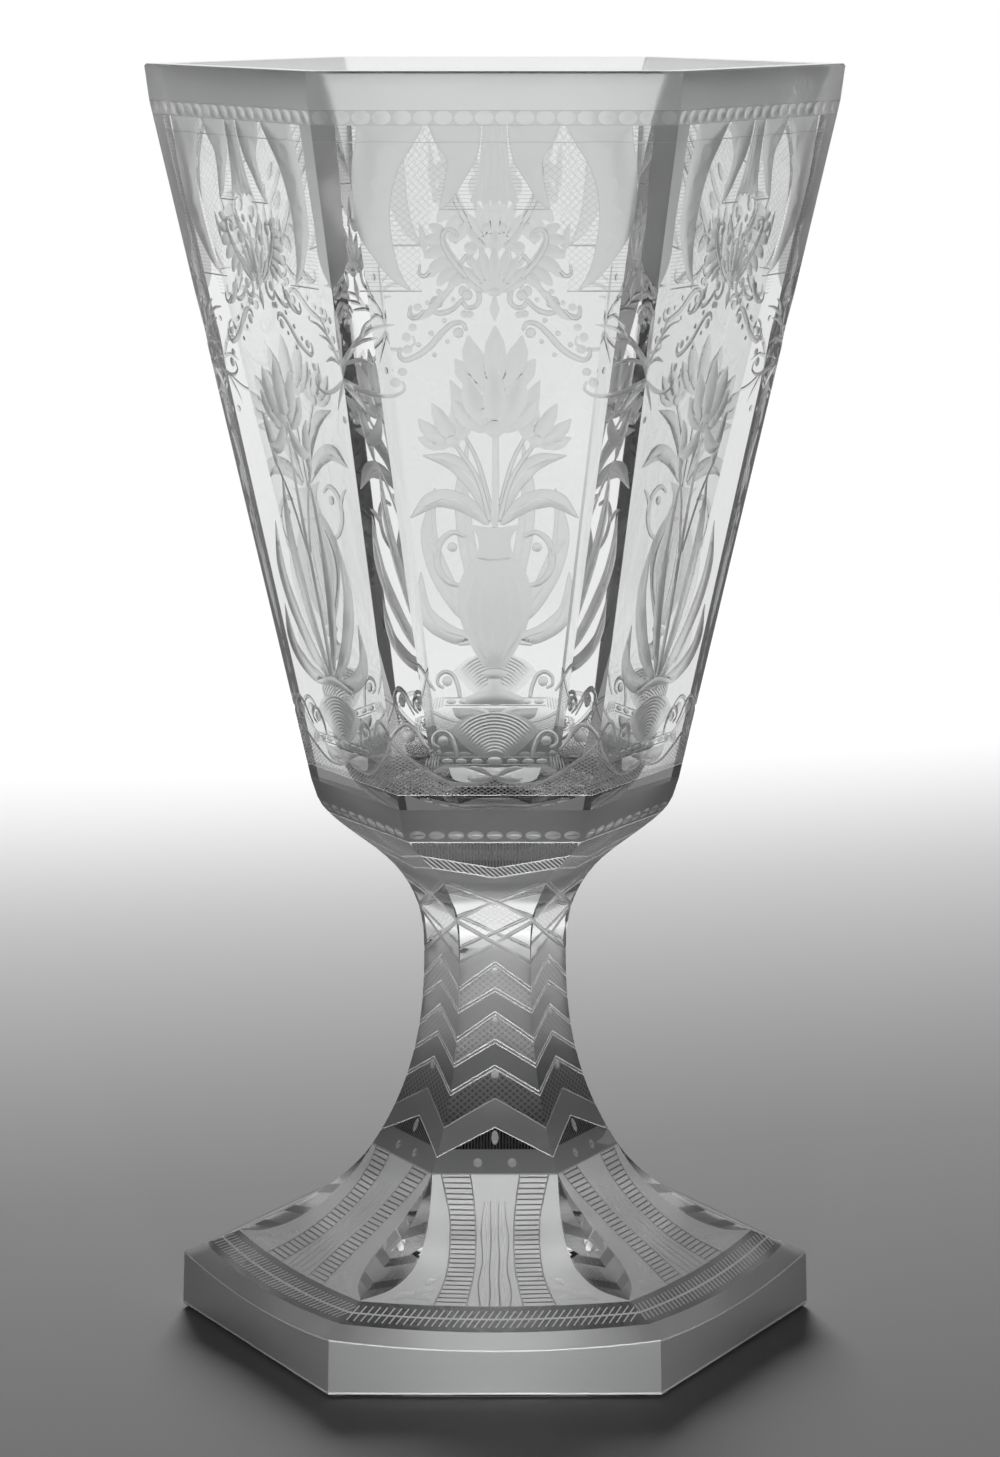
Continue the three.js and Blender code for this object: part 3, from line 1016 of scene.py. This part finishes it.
def shoulderShapes():
    s = bowlSize
    wallFoot, coarseFoot = s["wallFoot"][1], s["coarseFoot"]
    # painted shade: the shoulder's bands and beads are dark glass, for the shade on its downward-facing
    # slope
    made = [band(wallFoot, s["fringeFoot"], 40, "smoked"), band(coarseFoot, wallFoot, 40, "coarse"),
            band(s["stripesTop"], coarseFoot, 15, "fineLines"),
            band(s["stripesFoot"], s["stripesTop"], 13, "stripes"),
            band(80, s["stripesFoot"], 13, "matt")]
    for place in beadPlaces(s["shoulderBeads"], s["shoulderBeadPitch"]):
        made.append(oval(place, s["shoulderBeadLevel"], 1.6, 0.98, 0.5, "bead"))
    made += line([(-20, s["shoulderLine"]), (20, s["shoulderLine"])], 0.3)
    for side, middle in (s["stripesTop"], s["stripesFoot"]):
        slope = (side - middle) / 12.3
        made += line([(-15, middle + 15 * slope), (0, middle), (15, middle + 15 * slope)], 0.32)
    return made


def bowlShapes(kind):
    s = bowlSize
    made = rimShapes() + mirrored(canopyShapes()) + columnShapes() + mirrored(palmetteShapes())
    made += palmetteMiddle()
    for level in (s["wallTop"][1], s["beadFoot"], s["underBeads"]):
        made += line([(-35, level), (35, level)], 0.18, 0.05, "shadeLine")
    made += mirrored(garlandShapes()) + mirrored(twigShapes())
    if kind == "A":
        made += mirrored(urnShapes()) + urnMiddle()
    else:
        made += mirrored(reedShapes()) + reedMiddle()
    made += [cushion()] + mirrored(baseShapes()) + shellShapes() + baseMiddle()
    made += line([(-23, s["fringeFoot"]), (23, s["fringeFoot"])], 0.3)
    return made + shoulderShapes()


def makeBowl(materials):
    s = bowlSize
    outline = bowlOutline()
    rows = [s["bandFoot"][1], s["wallFoot"][1], s["wallTop"][1]] + list(np.arange(*s["shoulderRows"]))
    above, below = bowlInside(outline), [(0, s["seam"][1], "flat", "seam")]
    pair = [sector("bowl" + kind, outline, bowlShapes(kind), rows, above, below) for kind in "AB"]
    bowl = buildPiece("bowl_glass", *pair, materials)
    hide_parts("bowl")
    return bowl


# The stem

stemSize = {
    "bottom": (24.9, 34.0), "bottomLean": -0.66, "waist": (14.2, 73.7),
    "top": (20.1, 92.0), "topLean": 0.9,
    # the clear lattice over the waist: its knots, and where its lines meet the arris
    "upperKnot": (0, 87.7), "sideKnot": (7.8, 83.6), "lowerKnot": (0, 78.7), "lowSide": (7.1, 74.5),
    # each zigzag's height at the middle of a flat and at the arris
    "zigzags": [(74.6, 69.3), (69.3, 64.9), (64.5, 59.2), (59.0, 54.2), (53.9, 48.8), (47.9, 42.4),
                (42.5, 37.1)],
    "collar": 38.5,
    "studs": ((73.1, 0.6), (63.2, 0.6), (52.5, 0.85)),      # height and radius
    "stepsBelow": 50, "stepsAbove": 30, "rows": (36, 91, 2.0),
}


def stemOutline():
    s = stemSize
    rows = [s["bottom"]] + sweep(s["bottom"], s["bottomLean"], s["waist"], 0, s["stepsBelow"])
    return profile(rows + sweep(s["waist"], 0, s["top"], s["topLean"], s["stepsAbove"]), True)


def chevron(outline, middle, side):
    # the points of a V line from arris to arris and a little beyond
    half = float(at(outline, "corner", side)) / 2
    extra = 1.12
    end = middle + (side - middle) * extra
    return [(-half * extra, end), (0, middle), (half * extra, end)]


def stemShapes(outline):
    s = stemSize
    upper, side, lower, low = s["upperKnot"], s["sideKnot"], s["lowerKnot"], s["lowSide"]
    zigzags = [chevron(outline, *levels) for levels in s["zigzags"]]
    collar = s["collar"]
    # past the two seams and past an arris
    under, above, beyond = 33, 96, 14
    # painted shade: from the waist down the bands get darker glass toward the foot
    made = [band(under, above, 20, "dusk")]
    made += mirrored([shape([upper, (10.9, 92.8), (10.9, side[1]), side], "bright"),
                      shape([side, (9.5, side[1]), (9.5, 73.6), low, lower], "bright")])
    made.append(shape([upper, side, lower, (-side[0], side[1])], "crossHatch"))
    for i, finish in ((0, "mesh"), (2, "mesh"), (4, "netting")):
        made.append(shape(zigzags[i] + zigzags[i + 1][::-1], finish))
    made.append(shape(zigzags[5] + zigzags[6][::-1], "deep"))
    made.append(shape(zigzags[6] + [(beyond, collar), (-beyond, collar)], "fineLines"))
    made.append(shape([(-beyond, collar), (beyond, collar), (beyond, under), (-beyond, under)], "dim"))
    for zigzag in zigzags[:5]:
        made += doubleLine(zigzag, 0.7, 0.24, "line")
    made += line(zigzags[5], 0.26, 0.1, "faintLine")
    made += line(zigzags[6], 0.2, 0.1)
    made += doubleLine(chevron(outline, lower[1], low[1]))
    for way in (1, -1):
        made += doubleLine([(way * 11.4, 92.95), upper, (-way * 8.7, 83.15)])
        made += doubleLine([(way * 8.7, 84.05), lower, (-way * 8.0, 74.1)])
    for level, radius in s["studs"]:
        made.append(oval(0, level, radius, radius, 0.3, "faintLine"))
    made.append(oval(0, 40.6, 0.75, 1.35, 0.4, "faintLine"))
    made += [oval(way * 3.4, 36.1, 0.9, 0.85, 0.5, "faintLine") for way in (-1, 1)]
    made += line([(-13, 34.15), (13, 34.15)], 0.2, 0.05, "faintLine")
    return made


def makeStem(materials):
    s = stemSize
    outline = stemOutline()
    rows = list(np.arange(*s["rows"]))
    above, below = [(0, s["top"][1], "flat", "seam")], [(0, s["bottom"][1], "flat", "seam")]
    pair = [sector("stem" + kind, outline, stemShapes(outline), rows, above, below) for kind in "AB"]
    stem = buildPiece("stem_glass", *pair, materials)
    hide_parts("stem")
    return stem


# The foot. The chamfer's upper edge and the flare's foot lie lower than on the CAD part, and dip.

footSize = {
    "edge": (63.6, 0.5), "edgeBevel": 0.5, "sideTop": (63.2, 11.4), "sideDip": 2.2,
    "chamferTop": (58.8, 13.2), "chamferBulge": 2.0, "chamferDip": 1.0, "flareFoot": (52.0, 15.8),
    "flareBulge": 0.9, "flareDip": 0.8, "flareLean": -2.4, "pontil": 17.0, "pontilDepth": 1.2,
    # the flare's drawing: half widths, and how far out the arris is there
    "ladderInner": [(4.9, 24.9), (4.2, 28), (3.7, 34), (3.9, 42), (4.8, 48), (5.5, 52)],
    "ladderOuter": [(10.6, 24.9), (9.6, 28), (8.8, 32), (8.9, 40), (9.9, 46), (11.8, 52)],
    "panelEdge": [(12.4, 24.9), (12.6, 28), (13.0, 32), (13.9, 37), (15.9, 43), (20.0, 48.3),
                  (26.2, 52)],
    # painted shade: the folds carry no relief; dark lines stand for their shaded hollows, between light
    # engraved lines
    "folds": ((-2.7, "shadeLine"), (-1.8, "line"), (-0.9, "groove"), (0.0, "line"),
              (0.8, "shadeLine"), (1.7, "line"), (2.6, "groove")),
    # painted shade: dark glass bars across the flare's clear margins; each pair says where a bar starts and
    # ends
    "smokedBars": ((25.6, 27.6), (32.2, 34.6), (39.0, 41.2), (45.2, 47.4)),
    "hatchPitch": 1.36, "hatchesEachWay": 20,
    "flareSteps": 40, "firstRow": 1.5, "rowPitch": 1.8,
}


def footOutline():
    s = footSize
    seam, seamLean, top = stemSize["bottom"], stemSize["bottomLean"], stemSize["bottom"][1]
    flare = sweep(s["flareFoot"], s["flareLean"], seam, seamLean, s["flareSteps"])
    rows = [s["edge"], s["sideTop"] + (0.0, s["sideDip"]),
            s["chamferTop"] + (s["chamferBulge"], s["chamferDip"])]
    for row in [s["flareFoot"]] + flare:
        share = (top - row[1]) / (top - s["flareFoot"][1])
        rows.append(row + (s["flareBulge"] * share, s["flareDip"] * share))
    return profile(rows, False)


def footShapes(outline):
    s = footSize
    t = [float(v) for v in outline["t"][:4]]
    top = float(outline["t"][-1]) + 0.5

    def on(u, corner):
        # a point of the flare, given by how far out its arris is
        return (u, float(np.interp(-corner, -outline["corner"][3:], outline["t"][3:])))

    def edgeLine(points, side=1):
        return [(side * points[0][0], top)] + [on(side * u, corner) for u, corner in points]

    def step(low, high, finish):
        return shape([(-40, low), (40, low), (40, high), (-40, high)], finish)

    inner, outer, edge = s["ladderInner"], s["ladderOuter"], s["panelEdge"]
    # painted shade: the side, chamfer and bevel bands are darker glass than plain crystal
    made = [step(-2, t[1], "satin"), step(t[1], t[2], "chamfer"), step(t[2], t[3], "bevel")]
    beside = edgeLine(edge)[::-1]
    beside[-1] = (edge[0][0] + 0.5, top)
    made += mirrored([area(edgeLine(inner), edgeLine(outer)[::-1], finish="rungs"),
                      area(edgeLine(outer), beside, finish="bloom")])
    made.append(area(edgeLine(inner), edgeLine(inner, -1)[::-1], finish="bloom"))
    # painted shade: each fold is a flat line, and the dark ones stand for the shade in the fold
    for lane, finish in s["folds"]:
        wave = [on(lane * (1 + 0.12 * math.sin(c * 0.5 + lane)) * (0.85 + 0.014 * (c - 30)), c)
                for c in np.linspace(28.5, 52, 9)]
        made += over(stroke(wave, [0.12, 0.24, 0.3], 0.0, finish, 1.5))
    # painted shade: dark glass bars on the flare's clear margins
    for near, far in s["smokedBars"]:
        nearSide, farSide = (float(np.interp(c, [p[1] for p in edge], [p[0] for p in edge])) + 0.2
                             for c in (near, far))
        bar = [on(nearSide, near), on(near / 2 + 2.5, near + 2.2), on(far / 2 + 2.5, far + 2.2),
               on(farSide, far)]
        made += mirrored([shape(bar, "smoked")])
    for root, tip, width, turn in (((12.5, 50.6), (19.6, 50.9), 2.2, 0.2),
                                   ((11.6, 47.6), (15.4, 49.8), 2.0, 0.2),
                                   ((11.0, 44.2), (13.4, 47.2), 1.4, 0.1)):
        made += mirrored([{**petal(on(*root), on(*tip), width, turn, 0.12, 0.4, 0.3), "finish": "line"}])
    for points in (inner, outer):
        made += mirrored([stroke(edgeLine(points), [0.26, 0.26], 0.1, step=1.5)])
    for level, width in ((0.3, 0.35), (t[1] - 0.2, 0.3)):
        made += line([(-33, level), (33, level)], width, 0.08)
    centre, reach = (t[2] + t[3]) / 2, 0.32 * (t[3] - t[2])
    made += line([(-29, centre), (29, centre)], 0.42)
    for i in range(-s["hatchesEachWay"], s["hatchesEachWay"] + 1):
        u = i * s["hatchPitch"]
        made += line([(u - 1.2, centre - reach), (u + 1.2, centre + reach)], 0.28, 0.08)
    return made


def makeFoot(materials):
    s = footSize
    outline = footOutline()
    breaks = [float(t) for t in outline["t"][1:4]]
    rows = breaks + list(np.arange(breaks[2] + s["firstRow"], outline["t"][-1] - 1, s["rowPitch"]))
    above = [(0, stemSize["bottom"][1], "flat", "seam")]
    # painted shade: the flat ring the foot stands on takes the near-black ground glass
    below = [(s["edge"][0] - s["edgeBevel"], 0.0, "flat", "polished"), (s["pontil"], 0.0, "round", "ground")]
    for share in (2 / 3, 1 / 3, 0):
        below.append((s["pontil"] * share, s["pontilDepth"] * (1 - share ** 2), "round", "polished"))
    pair = [sector("foot" + kind, outline, footShapes(outline), rows, above, below) for kind in "AB"]
    foot = buildPiece("foot_glass", *pair, materials)
    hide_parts("foot")
    return foot


def addChalice():
    materials = {name: glassMaterial(name + "Crystal", look) for name, look in looks.items()}
    materials["seam"] = seamMaterial()
    for make in (makeBowl, makeStem, makeFoot):
        piece = make(materials)
        print("made", piece.name, len(piece.data.polygons), "faces")


# Stage, light and camera, in metres and watts

floorSize = {
    "radius": 3.2, "drop": 0.0003, "slant": 0.35, "start": -0.2, "fadeStart": 0.36, "fadeLength": 0.5,
    # painted shade: places along the floor, from the front to the back, and how light the paper is painted
    # there, darker toward the front
    "tones": ((0.1, 0.37), (0.3, 0.44), (0.45, 0.57), (0.6, 0.68), (0.85, 0.85)),
}
room = {
    "dim": 0.035, "sideGlow": 0.06, "horizonGlow": 0.46, "wallGlow": 0.45, "bounceLoss": 0.77,
    # how far the lit parts reach to the side or up for each unit of depth, and their soft edges
    "wallHalf": 1.6, "wallSoft": 0.8, "wallTop": 4.0, "wallTopSoft": 1.5,
    "horizonTop": 0.45, "horizonSoft": 0.15, "sideStart": 0.5, "sideTurn": 0.5, "sideSoft": 0.4,
}
lamps = {
    # place, target, size, power and spread in degrees
    "backLamp": ((-0.1, 1.5, 0.6), (0, 0, 0.05), 0.7, 31.5, 180),
    "frontLamp": ((0.02, -0.42, 0.014), (0, 0, 0.1), 0.024, 0.165, 60),
    "footLamp": ((0, -0.2, 0.006), (0, -0.055, 0.007), 0.01, 0.0065, 40),
}
view = {"place": (0.001, -0.801, 0.269), "tilt": 79.43, "lens": 101.35, "sensor": 36, "bounces": 24}


def addFloor():
    s = floorSize
    bpy.ops.mesh.primitive_circle_add(vertices=96, radius=s["radius"], fill_type="NGON",
                                      location=(0, 0, -s["drop"]))
    floor = bpy.context.object
    floor.name = "floor"
    material, tree = newMaterial("floorPaper")
    spot = tree.add("ShaderNodeTexCoord", output="Object")
    along = tree.add("ShaderNodeSeparateXYZ", values={0: spot}, output="Y")
    # painted shade: the paper is darker toward the front and toward the right
    behind = along - s["slant"] * along.beside("X")
    ramp = tree.add("ShaderNodeValToRGB", values={"Fac": behind - s["start"]})
    stops, tones = ramp.socket.node.color_ramp.elements, s["tones"]
    stops[0].position, stops[1].position = tones[0][0], tones[-1][0]
    for position, level in tones[1:-1]:
        stops.new(position)
    for element, (position, level) in zip(stops, tones):
        element.color = (level, level, level, 1)
    paper = tree.add("ShaderNodeBsdfDiffuse", values={"Color": ramp})
    white = tree.add("ShaderNodeEmission", values={"Color": (1, 1, 1, 1), "Strength": 1.0})
    # what is seen of the floor turns white toward the back; the light on it doesn't change
    camera = tree.add("ShaderNodeLightPath", output="Is Camera Ray")
    seen = camera + camera.beside("Is Glossy Ray") + camera.beside("Is Transmission Ray")
    fade = ((behind - s["fadeStart"]) / s["fadeLength"]).clamped()
    fade = fade * fade * (3.0 - 2.0 * fade)
    mix = tree.add("ShaderNodeMixShader", values={0: fade * seen.join("MINIMUM", 1.0), 1: paper, 2: white})
    tree.add("ShaderNodeOutputMaterial", values={"Surface": mix})
    floor.data.materials.append(material)


def addWorld():
    # a bright backdrop straight behind, and a dim room at the sides, in front and overhead
    world = bpy.data.worlds.new("studio")
    bpy.context.scene.world = world
    world.use_nodes = True
    tree = Tree(world.node_tree)
    spot = tree.add("ShaderNodeTexCoord", output="Generated")
    x = tree.add("ShaderNodeSeparateXYZ", values={0: spot}, output="X")
    y, z = x.beside("Y"), x.beside("Z")
    ahead = y.join("MAXIMUM", 0.001)
    wide = x.join("ABSOLUTE")
    aside = ((room["wallHalf"] - wide / ahead) / room["wallSoft"]).clamped()
    spill = ((wide + y * room["sideTurn"] - room["sideStart"]) / room["sideSoft"]).clamped()
    height = ((room["horizonTop"] - z / ahead) / room["horizonSoft"]).clamped()
    above = ((room["wallTop"] - z / ahead) / room["wallTopSoft"]).clamped()
    glow = height * room["horizonGlow"] + above * room["wallGlow"]
    level = room["dim"] + spill * room["sideGlow"] + aside * glow
    camera = tree.add("ShaderNodeLightPath", output="Is Camera Ray")
    bounced = camera.beside("Diffuse Depth").join("MINIMUM", 1.0)
    shown = camera + (1.0 - camera) * level * (1.0 - room["bounceLoss"] * bounced)
    back = tree.add("ShaderNodeBackground", values={"Color": (1, 1, 1, 1), "Strength": shown})
    tree.add("ShaderNodeOutputWorld", values={"Surface": back})


def addLamp(name, place, target, size, watts, spread):
    light = bpy.data.lights.new(name, "AREA")
    light.shape = "DISK"
    light.size = size
    light.energy = watts
    light.spread = math.radians(spread)
    lamp = bpy.data.objects.new(name, light)
    lamp.location = place
    lamp.rotation_euler = (Vector(target) - Vector(place)).to_track_quat("-Z", "Y").to_euler()
    # only the floor and the matt glass take its light; it isn't seen in the polished glass
    lamp.visible_transmission = False
    lamp.visible_camera = False
    lamp.visible_glossy = False
    bpy.context.scene.collection.objects.link(lamp)


def addCamera():
    camera = bpy.data.cameras.new("camera")
    camera.lens = view["lens"]
    camera.sensor_width = view["sensor"]
    camera.clip_start = 0.05
    camera.clip_end = 50
    shooter = bpy.data.objects.new("camera", camera)
    shooter.location = view["place"]
    shooter.rotation_euler = (math.radians(view["tilt"]), 0, 0)
    bpy.context.scene.collection.objects.link(shooter)
    bpy.context.scene.camera = shooter


def addStage():
    addFloor()
    addWorld()
    for name, settings in lamps.items():
        addLamp(name, *settings)
    addCamera()
    scene = bpy.context.scene
    scene.view_settings.view_transform = "Standard"
    for kind in ("max", "transmission", "glossy", "transparent_max"):
        setattr(scene.cycles, kind + "_bounces", view["bounces"])


addChalice()
print("chalice made")
addStage()
print("stage made")
